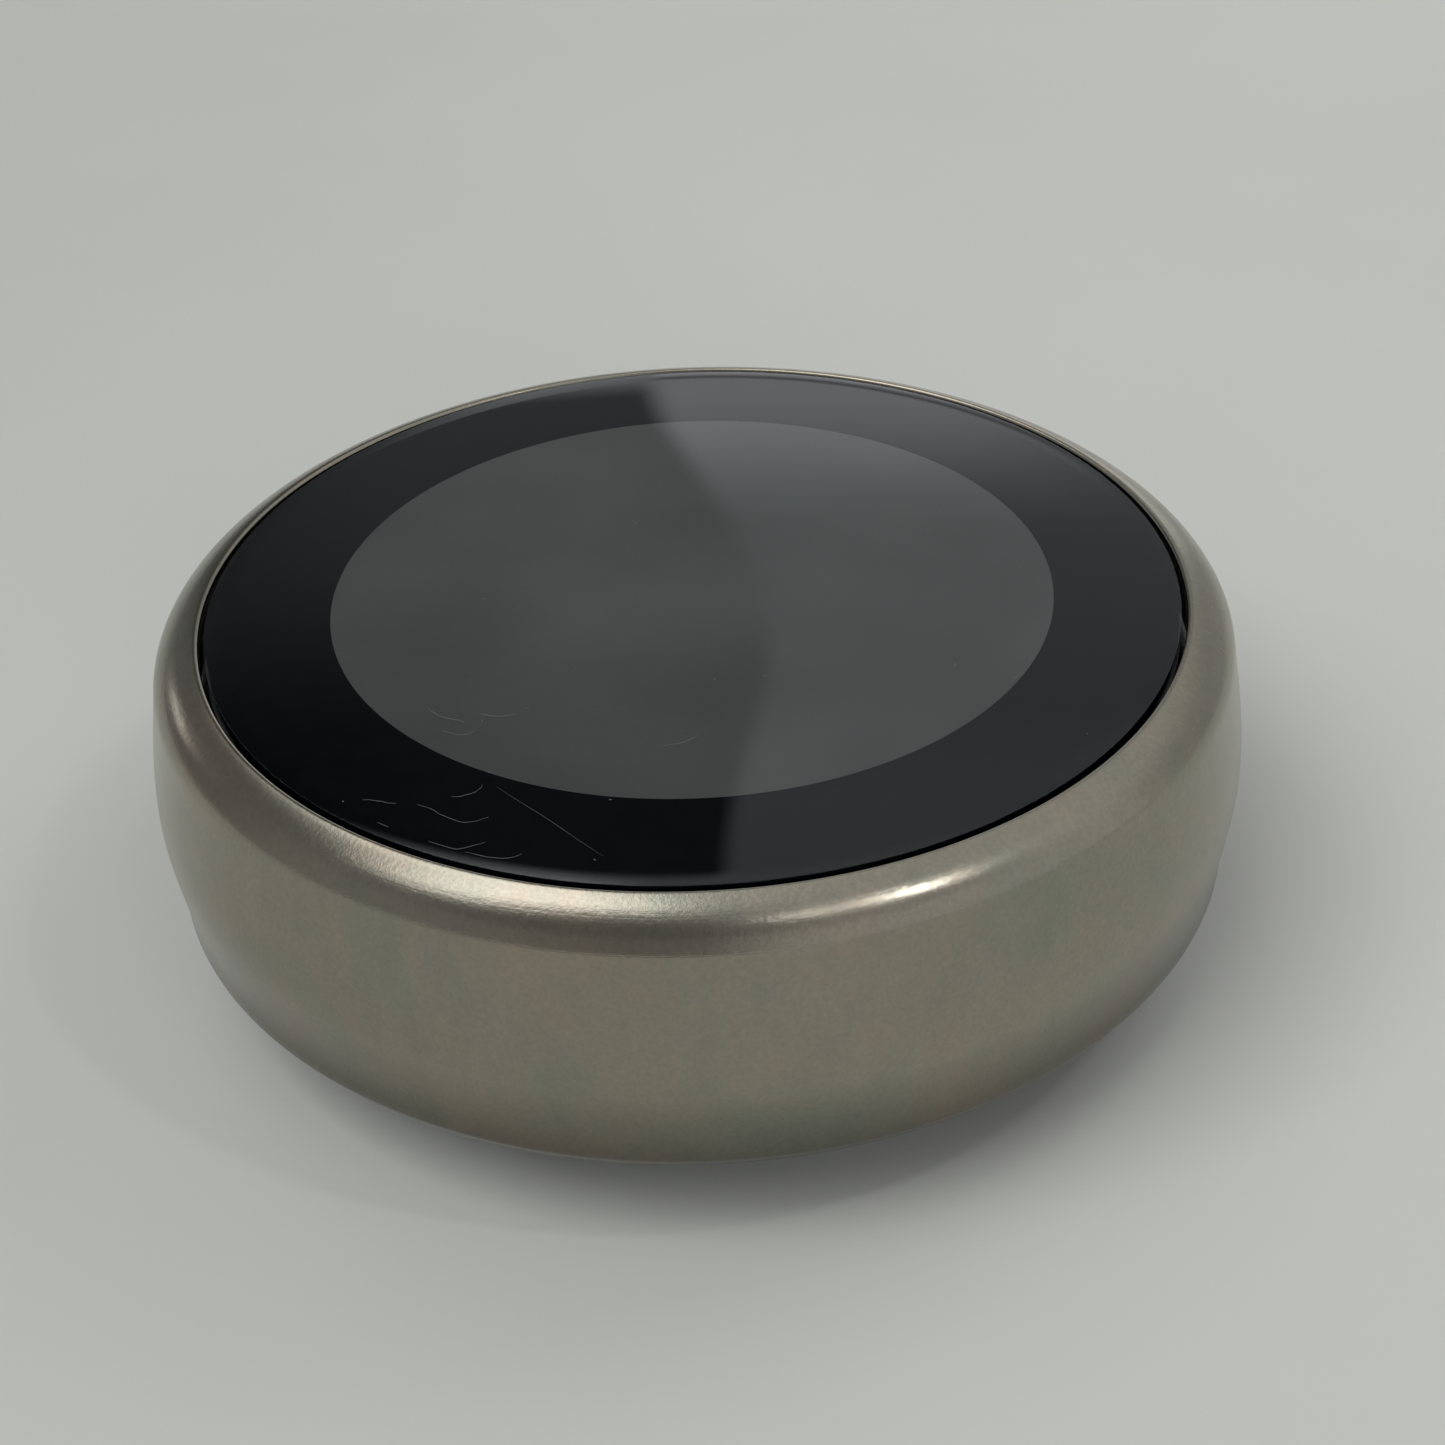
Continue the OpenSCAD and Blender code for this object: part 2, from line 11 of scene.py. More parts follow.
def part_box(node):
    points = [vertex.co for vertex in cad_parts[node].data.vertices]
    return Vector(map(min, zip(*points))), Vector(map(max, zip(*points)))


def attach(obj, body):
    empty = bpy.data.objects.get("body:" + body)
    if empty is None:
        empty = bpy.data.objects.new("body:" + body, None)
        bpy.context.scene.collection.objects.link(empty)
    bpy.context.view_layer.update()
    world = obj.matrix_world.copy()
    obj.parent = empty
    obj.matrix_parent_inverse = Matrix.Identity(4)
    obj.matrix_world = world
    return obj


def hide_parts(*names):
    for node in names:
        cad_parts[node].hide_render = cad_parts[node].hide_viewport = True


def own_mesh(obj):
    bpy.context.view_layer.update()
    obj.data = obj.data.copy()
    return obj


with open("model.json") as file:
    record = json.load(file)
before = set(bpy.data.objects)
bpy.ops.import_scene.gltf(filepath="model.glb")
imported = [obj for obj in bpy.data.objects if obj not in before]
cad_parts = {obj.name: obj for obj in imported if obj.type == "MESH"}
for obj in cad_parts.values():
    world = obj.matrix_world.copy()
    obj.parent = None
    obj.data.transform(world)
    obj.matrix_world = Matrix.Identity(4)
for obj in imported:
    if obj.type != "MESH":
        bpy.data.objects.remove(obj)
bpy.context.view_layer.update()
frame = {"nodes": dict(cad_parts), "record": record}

MM = 0.001


# ---------------------------------------------------------------- sizes, in millimetres

def span(node, axis=2):
    """Lowest and highest value of a CAD node along one axis."""
    low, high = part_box(node)
    return low[axis] / MM, high[axis] / MM


ring_rear, lip_z = span("ring_shell")
ring_r = span("ring_shell", 0)[1]
lip_r = 37.32
lens_z, apex_z = span("lens")
lens_r = span("lens", 0)[1]
lens_edge_z = lip_z
film_z = span("blackout_film")[0]
screen_r = 27.4
glass_t = 0.3
display_low = span("lcd_panel")[0]
display_r = span("lcd_panel", 0)[1]


# ---------------------------------------------------------------- geometry helpers

DEFAULT_BEVEL = 0.12
# edges that turn by more than this many degrees get a bevel
BEVELLED_ANGLE = 30


def finish_mesh(name, shape, body, material, sharp=32, node=None):
    """Turns a bmesh into a smooth-shaded piece that rides on a body."""
    bmesh.ops.recalc_face_normals(shape, faces=shape.faces)
    mesh = bpy.data.meshes.new(name)
    shape.to_mesh(mesh)
    shape.free()
    mesh.polygons.foreach_set("use_smooth", [True] * len(mesh.polygons))
    mesh.set_sharp_from_angle(angle=math.radians(sharp))
    mesh.materials.append(material)
    piece = bpy.data.objects.new(name, mesh)
    bpy.context.scene.collection.objects.link(piece)
    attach(piece, body)
    if node:
        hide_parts(node)
    return piece


def add_lathe(shape, profile, steps, closed=True):
    """Revolves (radius, height) points about a vertical axis; points on the axis become one vertex."""
    rows = []
    for r, z in profile:
        count = steps if r > 1e-6 else 1
        angles = [math.tau * i / steps for i in range(count)]
        rows.append([shape.verts.new((r * math.cos(a) * MM, r * math.sin(a) * MM, z * MM)) for a in angles])
    pairs = list(zip(rows, rows[1:]))
    if closed:
        pairs.append((rows[-1], rows[0]))
    for low, high in pairs:
        for i in range(steps):
            j = (i + 1) % steps
            corners = [low[i % len(low)], low[j % len(low)], high[j % len(high)], high[i % len(high)]]
            corners = list(dict.fromkeys(corners))
            if len(corners) > 2:
                shape.faces.new(corners)


def bezier(points, steps):
    """Points of a cubic curve, without its first point."""
    a, b, c, d = (Vector(p) for p in points)
    run = []
    for i in range(1, steps + 1):
        t = i / steps
        s = 1 - t
        run.append(tuple(s**3 * a + 3 * t * s**2 * b + 3 * t**2 * s * c + t**3 * d))
    return run


def refined(node, body, material, bevel):
    """A clean copy of a CAD node's shape: welded, its flat faces joined and its edges softened."""
    shape = bmesh.new()
    shape.from_mesh(frame["nodes"][node].data)
    bmesh.ops.remove_doubles(shape, verts=shape.verts, dist=1e-6)
    bmesh.ops.dissolve_limit(
        shape, angle_limit=math.radians(0.5), verts=shape.verts, edges=shape.edges, delimit={"NORMAL"}
    )
    if bevel:
        edges = [
            e for e in shape.edges
            if len(e.link_faces) == 2 and e.calc_face_angle(0) > math.radians(BEVELLED_ANGLE)
        ]
        bmesh.ops.bevel(
            shape, geom=edges, offset=bevel * MM, segments=2, profile=0.5,
            affect="EDGES", clamp_overlap=True, offset_type="OFFSET",
        )
    return finish_mesh(node + "_piece", shape, body, material, node=node)


# ---------------------------------------------------------------- materials

class Shader:
    """A Principled material with short helpers for its procedural nodes."""

    def __init__(self, name, **sockets):
        self.material = bpy.data.materials.new(name)
        self.material.use_nodes = True
        self.tree = self.material.node_tree
        self.bsdf = self.tree.nodes["Principled BSDF"]
        self.coords = self.add("ShaderNodeTexCoord").outputs["Object"]
        for socket, value in sockets.items():
            self.bsdf.inputs[socket.replace("_", " ")].default_value = value

    def add(self, kind, **settings):
        node = self.tree.nodes.new(kind)
        for key, value in settings.items():
            setattr(node, key, value)
        return node

    def link(self, source, target):
        self.tree.links.new(source, target)

    def noise(self, size_mm, detail=4.0, rough=0.55, vector=None, distortion=0.0):
        """Noise with features about size_mm across, as a 0 to 1 value."""
        node = self.add("ShaderNodeTexNoise")
        node.inputs["Scale"].default_value = 1000.0 / size_mm
        node.inputs["Detail"].default_value = detail
        node.inputs["Roughness"].default_value = rough
        node.inputs["Distortion"].default_value = distortion
        self.link(vector or self.coords, node.inputs["Vector"])
        return node.outputs["Fac"]

    def stretch(self, scale):
        """The coordinates scaled along X, Y and Z."""
        node = self.add("ShaderNodeMapping")
        node.inputs["Scale"].default_value = scale
        self.link(self.coords, node.inputs["Vector"])
        return node.outputs["Vector"]

    def ramp(self, value, stops):
        """Colour ramp; stops are (position, colour)."""
        node = self.add("ShaderNodeValToRGB")
        elements = node.color_ramp.elements
        while len(elements) < len(stops):
            elements.new(0.5)
        for element, (position, colour) in zip(elements, stops):
            element.position = position
            element.color = (*colour, 1.0)
        self.link(value, node.inputs["Fac"])
        return node.outputs["Color"]

    def remap(self, value, low, high, from_low=0.3, from_high=0.7):
        """The value moved from one range to another, and held at the ends."""
        node = self.add("ShaderNodeMapRange")
        limits = {"From Min": from_low, "From Max": from_high, "To Min": low, "To Max": high}
        for key, number in limits.items():
            node.inputs[key].default_value = number
        self.link(value, node.inputs["Value"])
        return node.outputs["Result"]

    def math(self, operation, a, b):
        """Sum or product of two values, each a number or a socket."""
        node = self.add("ShaderNodeMath", operation=operation)
        for target, value in zip(node.inputs, (a, b)):
            if isinstance(value, (int, float)):
                target.default_value = value
            else:
                self.link(value, target)
        return node.outputs[0]

    def multiply(self, a, b):
        """Product of two colour sockets."""
        node = self.add("ShaderNodeMix", data_type="RGBA", blend_type="MULTIPLY")
        node.inputs["Factor"].default_value = 1.0
        targets = [s for s in node.inputs if s.type == "RGBA"]
        self.link(a, targets[0])
        self.link(b, targets[1])
        return [s for s in node.outputs if s.type == "RGBA"][0]

    def colour(self, socket):
        self.link(socket, self.bsdf.inputs["Base Color"])

    def roughness(self, socket):
        self.link(socket, self.bsdf.inputs["Roughness"])

    def bump(self, height, depth_mm):
        node = self.add("ShaderNodeBump")
        node.inputs["Strength"].default_value = 1.0
        node.inputs["Distance"].default_value = depth_mm * MM
        self.link(height, node.inputs["Height"])
        self.link(node.outputs["Normal"], self.bsdf.inputs["Normal"])


def darker(colour, share):
    """The colour with each channel scaled by the share."""
    return tuple(c * share for c in colour)


def ring_steel():
    """Satin stainless steel: fine turned grain, faint warm and cool blotches, handling marks, and a painted
    shade that darkens it towards its rear edge.
    """
    s = Shader("satin_ring_steel", Metallic=1.0, Anisotropic=0.35)
    tangent = s.add("ShaderNodeTangent", direction_type="RADIAL", axis="Z")
    s.link(tangent.outputs["Tangent"], s.bsdf.inputs["Tangent"])
    blotch = s.noise(11.0, detail=5.0, rough=0.65, distortion=0.6)
    warm, plain, cool = (0.340, 0.296, 0.240), (0.313, 0.294, 0.240), (0.280, 0.284, 0.234)
    tint = s.ramp(blotch, [(0.34, warm), (0.50, plain), (0.66, cool)])
    grain = s.noise(0.35, detail=3.0, rough=0.7)
    speck = s.remap(grain, 0.90, 1.06)
    height = s.add("ShaderNodeSeparateXYZ")
    s.link(s.coords, height.inputs[0])
    # painted shade: the colour darkens from 15.5 mm height down to 22 percent at 6 mm, standing in for the
    # shadowed table that the ring's lower side mirrors
    dark, bare = (0.22, 0.22, 0.22), (1.0, 1.0, 1.0)
    painted_rear_shade = s.ramp(s.remap(height.outputs["Z"], 0.0, 1.0, 0.006, 0.0155), [(0.0, dark), (1.0, bare)])
    wear = s.noise(14.0, detail=5.0, rough=0.6, distortion=0.4)
    streaks = s.remap(s.noise(1.6, detail=4.0, rough=0.6, vector=s.stretch((1.0, 1.0, 0.25))), 0.97, 1.03)
    s.colour(s.multiply(s.multiply(s.multiply(tint, speck), streaks), painted_rear_shade))
    s.roughness(s.remap(wear, 0.17, 0.24))
    turned = s.noise(1.0, detail=4.0, rough=0.6, vector=s.stretch((0.03, 0.03, 7.0)))
    s.bump(s.math("ADD", s.math("MULTIPLY", turned, 0.5), grain), 0.014)
    return s.material


def front_glass():
    """Clear glass bonded to what is behind it, so only its front mirrors, with a faint film of grease."""
    material = bpy.data.materials.new("front_glass")
    material.use_nodes = True
    tree = material.node_tree
    tree.nodes.clear()
    clear = tree.nodes.new("ShaderNodeBsdfTransparent")
    clear.inputs["Color"].default_value = (0.93, 0.95, 0.95, 1.0)
    gloss = tree.nodes.new("ShaderNodeBsdfAnisotropic")
    gloss.inputs["Color"].default_value = (0.93, 0.96, 1.0, 1.0)
    fresnel = tree.nodes.new("ShaderNodeFresnel")
    fresnel.inputs["IOR"].default_value = 1.5
    side = tree.nodes.new("ShaderNodeNewGeometry")
    front = tree.nodes.new("ShaderNodeMath")
    front.operation = "SUBTRACT"
    front.inputs[0].default_value = 1.0
    share = tree.nodes.new("ShaderNodeMath")
    share.operation = "MULTIPLY"
    mix = tree.nodes.new("ShaderNodeMixShader")
    grease = tree.nodes.new("ShaderNodeTexNoise")
    grease.inputs["Scale"].default_value = 70.0
    grease.inputs["Detail"].default_value = 2.0
    grease.inputs["Distortion"].default_value = 0.4
    film = tree.nodes.new("ShaderNodeMapRange")
    limits = {"From Min": 0.5, "From Max": 0.75, "To Min": 0.01, "To Max": 0.035}
    for key, number in limits.items():
        film.inputs[key].default_value = number
    link = tree.links.new
    link(tree.nodes.new("ShaderNodeTexCoord").outputs["Object"], grease.inputs["Vector"])
    link(grease.outputs["Fac"], film.inputs["Value"])
    link(film.outputs["Result"], gloss.inputs["Roughness"])
    link(side.outputs["Backfacing"], front.inputs[1])
    link(front.outputs[0], share.inputs[0])
    link(fresnel.outputs[0], share.inputs[1])
    link(share.outputs[0], mix.inputs["Fac"])
    link(clear.outputs[0], mix.inputs[1])
    link(gloss.outputs[0], mix.inputs[2])
    link(mix.outputs[0], tree.nodes.new("ShaderNodeOutputMaterial").inputs["Surface"])
    return material


def printed_film():
    """Black ink on the back of the glass."""
    s = Shader("black_border_ink", Roughness=0.6, Specular_IOR_Level=0.0)
    mottle = s.noise(2.0, detail=2.0)
    s.colour(s.ramp(mottle, [(0.3, (0.0012, 0.0018, 0.0028)), (0.7, (0.0022, 0.0030, 0.0042))]))
    return s.material


def unlit_display():
    """Switched-off display: slate grey, finely mottled, under a hazy surface."""
    s = Shader("unlit_display", Specular_IOR_Level=0.0)
    haze = s.noise(16.0, detail=2.0, rough=0.5)
    tone = s.ramp(haze, [(0.35, (0.082, 0.081, 0.079)), (0.65, (0.099, 0.098, 0.095))])
    mottle = s.remap(s.noise(0.5, detail=3.0), 0.97, 1.02)
    s.colour(s.multiply(tone, mottle))
    s.roughness(s.remap(haze, 0.45, 0.55))
    return s.material


def moulded(name, colour, roughness, grain_mm=0.25, depth_mm=0.006):
    """Moulded plastic or rubber: faint mottling and a fine spark-eroded grain."""
    s = Shader(name)
    cloud = s.noise(12.0, detail=3.0)
    s.colour(s.ramp(cloud, [(0.3, darker(colour, 0.90)), (0.7, darker(colour, 1.06))]))
    grain = s.noise(grain_mm, detail=2.0)
    s.roughness(s.remap(grain, roughness - 0.06, roughness + 0.06))
    s.bump(grain, depth_mm)
    return s.material


def metal(name, colour, roughness):
    """Plain bright metal with a directional grain and a little tarnish."""
    s = Shader(name, Metallic=1.0)
    tarnish = s.noise(5.0, detail=4.0)
    s.colour(s.ramp(tarnish, [(0.3, darker(colour, 0.86)), (0.7, colour)]))
    lines = s.noise(0.8, detail=3.0, vector=s.stretch((1.0, 14.0, 1.0)))
    s.roughness(s.remap(lines, roughness - 0.07, roughness + 0.09))
    s.bump(lines, 0.002)
    return s.material


def circuit_board():
    """Green solder mask over copper tracks."""
    s = Shader("solder_mask", Coat_Weight=0.4, Coat_Roughness=0.15)
    track_gap_mm = 2.6
    tracks = s.add("ShaderNodeTexVoronoi", feature="DISTANCE_TO_EDGE", distance="CHEBYCHEV")
    tracks.inputs["Scale"].default_value = 1000.0 / track_gap_mm
    s.link(s.coords, tracks.inputs["Vector"])
    s.colour(s.ramp(
        tracks.outputs["Distance"],
        [(0.0, (0.030, 0.16, 0.07)), (0.06, (0.028, 0.15, 0.065)), (0.10, (0.010, 0.075, 0.032))],
    ))
    s.roughness(s.remap(s.noise(0.6), 0.32, 0.44))
    s.bump(s.remap(tracks.outputs["Distance"], 1.0, 0.0, 0.04, 0.10), 0.02)
    return s.material


def clear_vial(name, colour, roughness):
    """Clear plastic or fluid with faint swirls."""
    s = Shader(name, Transmission_Weight=1.0, IOR=1.46)
    swirl = s.noise(3.0)
    s.colour(s.ramp(swirl, [(0.3, colour), (0.7, darker(colour, 0.95))]))
    s.roughness(s.remap(swirl, roughness, roughness + 0.02))
    return s.material


def pale_table():
    """Matte pale laminate with a barely visible mottling."""
    s = Shader("pale_table")
    cloud = s.noise(90.0, detail=3.0)
    s.colour(s.ramp(cloud, [(0.3, (0.618, 0.632, 0.600)), (0.7, (0.648, 0.662, 0.630))]))
    grain = s.noise(0.5, detail=2.0)
    s.roughness(s.remap(grain, 0.42, 0.52))
    s.bump(grain, 0.01)
    return s.material


MATERIALS = {
    "ring_steel": ring_steel(),
    "front_glass": front_glass(),
    "black_film": printed_film(),
    "lint": moulded("grey_lint", (0.20, 0.20, 0.19), 0.8, grain_mm=0.05, depth_mm=0.002),
    "scratched": moulded("scratched_glass", (0.08, 0.083, 0.083), 0.5, grain_mm=0.1, depth_mm=0.001),
    "display": unlit_display(),
    "backlight_white": moulded("diffuser_white", (0.78, 0.78, 0.76), 0.4),
    "black_plastic": moulded("black_moulding", (0.020, 0.020, 0.022), 0.45),
    "dark_plastic": moulded("charcoal_moulding", (0.045, 0.047, 0.050), 0.5),
    "grey_plastic": moulded("grey_moulding", (0.42, 0.43, 0.44), 0.48),
    "white_plastic": moulded("white_moulding", (0.76, 0.76, 0.74), 0.42),
    "ivory_plastic": moulded("glide_ivory", (0.70, 0.67, 0.58), 0.3),
    "board_green": circuit_board(),
    "chip_black": moulded("chip_epoxy", (0.018, 0.018, 0.020), 0.55, grain_mm=0.12),
    "contact_gold": metal("gold_plate", (0.78, 0.56, 0.24), 0.25),
    "steel": metal("screw_steel", (0.60, 0.60, 0.59), 0.28),
    "shield_tin": metal("tinned_shield", (0.64, 0.64, 0.62), 0.38),
    "frame_aluminium": metal("stamped_aluminium", (0.70, 0.71, 0.72), 0.35),
    "battery_wrap": moulded("battery_wrap", (0.08, 0.19, 0.38), 0.3, grain_mm=1.2),
    "lead_red": moulded("lead_insulation", (0.42, 0.035, 0.025), 0.45),
    "flex_amber": moulded("flex_amber", (0.50, 0.22, 0.04), 0.3),
    "black_rubber": moulded("black_rubber", (0.018, 0.018, 0.018), 0.75, grain_mm=0.4),
    "vial_clear": clear_vial("vial_clear", (0.90, 0.94, 0.90), 0.02),
    "vial_fluid": clear_vial("vial_fluid", (0.62, 0.86, 0.12), 0.0),
}


# ---------------------------------------------------------------- ring

def ring_outline(steps):
    """The ring's closed profile: lip, shoulder, bulge and tail outside, then the hollow inside."""
    shoulder = (41.02, lip_z - 3)
    bulge = (ring_r, lip_z - 12)
    tail = (41.0, lip_z - 20.3)
    rear = (34.8, ring_rear)
    soft = 0.32
    outer = [(lip_r, lip_z - soft)]
    outer += bezier((outer[0], (lip_r, lip_z - 0.1), (lip_r + 0.1, lip_z), (lip_r + soft, lip_z)), 5)
    slope = (outer[-1], (lip_r + 1.22, lip_z - 0.2), (shoulder[0] - 0.3, lip_z - 1.4), shoulder)
    outer += bezier(slope, steps)
    outer += bezier((shoulder, (shoulder[0] + 0.42, shoulder[1] - 3), (ring_r, bulge[1] + 3), bulge), steps)
    outer += bezier((bulge, (ring_r, bulge[1] - 3), (tail[0] + 0.1, tail[1] + 3), tail), steps)
    outer += bezier((tail, (tail[0] - 0.1, tail[1] - 0.7), (rear[0] + 3.8, rear[1] + 1.9), rear), steps)
    bore_r, hollow_r = 34.4, 40.35
    inner = [
        (bore_r + 0.2, ring_rear), (bore_r, ring_rear + 0.2), (bore_r, ring_rear + 0.9), (38.6, 8.2),
        (hollow_r, 10.0), (hollow_r, 26.2), (38.8, 27.6), (lip_r, 28.4),
    ]
    return outer + inner


def make_ring():
    """The turning outer ring."""
    shape = bmesh.new()
    add_lathe(shape, ring_outline(14), 360)
    steel = MATERIALS["ring_steel"]
    return finish_mesh("turning_ring", shape, "ring", steel, sharp=40, node="ring_shell")


# ---------------------------------------------------------------- glass front

def dome_height(r):
    """Height of the glass's front face at a radius."""
    rise = apex_z - lens_edge_z
    dome_r = (lens_r**2 + rise**2) / (2 * rise)
    return apex_z - dome_r + math.sqrt(dome_r**2 - r**2)


def behind_glass(r):
    """Height of what lies just behind the thin glass at a radius."""
    return dome_height(r) - glass_t - 0.01


def make_glass():
    """A thin clear dome with a short rim; what lies behind it reaches up to its back."""
    edge = 0.05
    rim_r = lens_r - 0.15
    radii = [lens_r * i / 24 for i in range(24)]
    front = [(r, dome_height(r)) for r in radii + [lens_r - edge]]
    high = front[-1][1]
    corner = (front[-1], (lens_r - edge * 0.4, high), (lens_r, high - edge * 0.4), (lens_r, high - edge))
    front += bezier(corner, 3)
    back = [(lens_r, lens_z), (rim_r, lens_z)]
    back += [(r, dome_height(r) - glass_t) for r in [rim_r] + radii[::-1]]
    shape = bmesh.new()
    add_lathe(shape, front + back, 256, closed=False)
    clear = MATERIALS["front_glass"]
    return finish_mesh("front_glass", shape, "display_head", clear, sharp=25, node="lens")


def make_border():
    """The black border, from the inked film up to the back of the thin glass."""
    outer_r = lens_r - 0.2
    radii = [screen_r + (outer_r - screen_r) * i / 8 for i in range(9)]
    face = [(r, behind_glass(r)) for r in radii]
    profile = [(outer_r, film_z), (screen_r, film_z)] + face
    shape = bmesh.new()
    add_lathe(shape, profile, 256)
    ink = MATERIALS["black_film"]
    finish_mesh("border_film", shape, "display_head", ink, sharp=25, node="blackout_film")


def make_display():
    """The display: its panel below the film, its domed face inside the border."""
    inner_r = screen_r - 0.02
    step_z = film_z - 0.02
    face = [(r, behind_glass(r)) for r in (inner_r * (1 - i / 12) for i in range(13))]
    profile = [(0, display_low), (display_r, display_low), (display_r, step_z), (inner_r, step_z)] + face
    shape = bmesh.new()
    add_lathe(shape, profile, 192, closed=False)
    grey = MATERIALS["display"]
    finish_mesh("display_disc", shape, "display_head", grey, sharp=25, node="lcd_panel")


# ---------------------------------------------------------------- lint, dust and a scratch

WEAR_SEED = 17
# where lint gathers on the glass: angle, radius, spread in mm, how many threads, longest in mm
LINT_GATHERS = [(236, 35, 4, 6, 6.0), (225, 26, 3, 3, 4.0), (265, 22, 1, 1, 3.0), (330, 24, 3, 2, 1.0)]
SCRATCH_AT = (240, 29)
SCRATCH_LENGTH = 11.0
SCRATCH_HEADING = -50
DUST = 26
# width and height of each kind of ridge, in mm
LINT_SIZE = (0.028, 0.012)
SCRATCH_SIZE = (0.03, 0.003)
DUST_SIZE = (0.05, 0.02)
# how far the foot of a ridge is sunk into the glass, in mm
SUNK = 0.002


def on_glass(x, y):
    """The point, brought in to just inside the rim of the glass if it is past it."""
    reach = min(1.0, 0.97 * lens_r / math.hypot(x, y))
    return x * reach, y * reach


def spot_at(angle, radius, spread, rng):
    """A point near the given angle (degrees) and radius (mm) on the glass, off by up to spread (mm)."""
    x = radius * math.cos(math.radians(angle)) + rng.uniform(-spread, spread)
    y = radius * math.sin(math.radians(angle)) + rng.uniform(-spread, spread)
    return x, y


def thread(name, points, width, height, slot, material):
    """A low ridge over the glass through (x, y) points in millimetres, tapering to both ends."""
    shape = bmesh.new()
    rows = []
    count = len(points)
    for i, (x, y) in enumerate(points):
        before = Vector(points[max(i - 1, 0)])
        after = Vector(points[min(i + 1, count - 1)])
        across = (after - before).normalized().orthogonal() * width * 0.5
        across *= max(0.15, math.sin(math.pi * (i + 0.5) / count)) ** 0.5
        base = dome_height(math.hypot(x, y)) - SUNK
        sides = [(across, 0.0), (across * 0.5, height), (across * -0.5, height), (across * -1.0, 0.0)]
        rows.append([shape.verts.new(((x + a.x) * MM, (y + a.y) * MM, (base + h) * MM)) for a, h in sides])
    for low, high in zip(rows, rows[1:]):
        for i in range(4):
            j = (i + 1) % 4
            shape.faces.new((low[i], low[j], high[j], high[i]))
    shape.faces.new(rows[0])
    shape.faces.new(rows[-1])
    return finish_mesh(name, shape, "display_head", material)


def wandering(start, heading, length, bend, steps, rng):
    """Points of a line that wanders: start in mm, heading in degrees, bend in degrees per step."""
    x, y = start
    turn = math.radians(heading)
    points = [on_glass(x, y)]
    for _ in range(steps):
        turn += math.radians(rng.uniform(-0.6, 1.0) * bend)
        x += math.cos(turn) * length / steps
        y += math.sin(turn) * length / steps
        points.append(on_glass(x, y))
    return points


def make_lint(rng, material):
    number = 0
    for angle, radius, spread, count, longest in LINT_GATHERS:
        for _ in range(count):
            number += 1
            start = spot_at(angle, radius, spread, rng)
            length = longest * rng.uniform(0.35, 1.0)
            heading = angle + 90 + rng.uniform(-35, 35)
            points = wandering(start, heading, length, rng.uniform(5, 30), 14, rng)
            thread(f"lint_{number}", points, *LINT_SIZE, "white_plastic", material)


def make_scratch(rng):
    start = spot_at(*SCRATCH_AT, 1.0, rng)
    points = wandering(start, SCRATCH_HEADING, SCRATCH_LENGTH, 2, 16, rng)
    thread("scratch", points, *SCRATCH_SIZE, "front_glass", MATERIALS["scratched"])


def make_dust(rng, material):
    for i in range(DUST):
        angle = rng.uniform(0, 360)
        spot = spot_at(angle, lens_r * math.sqrt(rng.uniform(0.05, 0.92)), 0.5, rng)
        points = wandering(spot, rng.uniform(0, 360), rng.uniform(0.10, 0.22), 20, 3, rng)
        thread(f"dust_{i + 1}", points, *DUST_SIZE, "white_plastic", material)


def make_wear():
    """Lint, dust and one hairline scratch on the front of the glass."""
    rng = random.Random(WEAR_SEED)
    make_lint(rng, MATERIALS["lint"])
    make_scratch(rng)
    make_dust(rng, MATERIALS["lint"])


# ---------------------------------------------------------------- other pieces

BODY_OF = {n: b for b, ns in frame["record"]["behaviour"]["bodies"].items() for n in ns}
SLOT_OF = {s["node"]: s["material_slot"] for s in frame["record"]["subparts"]}
HERO = {"ring_shell", "lens", "blackout_film", "lcd_panel"}
BEVEL = {
    "base_plate": 0.25, "base_cover": 0.2, "rear_cup": 0.2, "front_bezel": 0.12, "head_chassis": 0.15,
    "link_flex": 0, "display_flex": 0, "return_springs": 0, "plug_pins": 0.08, "socket_contacts": 0.05,
    "terminal_clips": 0.05, "level_vial": 0.3, "level_fluid": 0, "glide_pads": 0.06, "blackout_film": 0,
    "lens_gasket": 0.08,
}
# height in mm that stays put, and the share of its length that a fully pressed piece keeps
SQUASHED = {"return_springs": (10.8, 3.6 / 4.4), "link_flex": (13.4, 4.0 / 4.8)}


def make_others():
    """Every piece that keeps the shape of its CAD node."""
    for node in sorted(frame["nodes"]):
        if node in HERO:
            continue
        slot = SLOT_OF[node]
        piece = refined(node, BODY_OF[node], MATERIALS[slot], bevel=BEVEL.get(node, DEFAULT_BEVEL))
        if node in SQUASHED:
            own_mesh(piece)


# ---------------------------------------------------------------- stage, lights and camera

# the table in mm: its top is a little under the wall base, so that no faces coincide
TABLE_TOP = -0.02
TABLE_RADII = (0, 60, 300, 1500, 8000)
# brightness of the parts of the room that metal and glass mirror
CEILING_LEVEL = 0.66
PALE_LEVEL = 0.36
DIM_LEVEL = 0.20
PANEL_LEVEL = 2.15
# brightness of the even light on matte surfaces, and the colour past the table's edge
EVEN_LEVEL = 0.13
BACKDROP = (0.52, 0.525, 0.51)
# name, ends as (azimuth, elevation), width in metres, brightness, distance in metres, whether mirrored
LIGHTS = [
    ("key", (-165, 52), (-100, 52), 1.5, 3.9, 3.0, False),
    ("front_fill", (150, 34), (200, 34), 1.8, 1.3, 3.0, False),
    ("back_fill", (40, 45), (80, 45), 0.25, 1.5, 0.5, False),
    ("lamp_right", (119, 58), (123, 58), 0.12, 52.0, 1.5, True),
    ("lamp_front", (148, 63), (152, 63), 0.08, 22.0, 1.5, True),
    ("lamp_left", (-54, 13), (-46, 13), 0.10, 2.2, 1.5, True),
]
# distance in mm from the middle of the ring's lip, and degrees above it
CAMERA_DISTANCE = 218.0
CAMERA_ELEVATION = 31.2
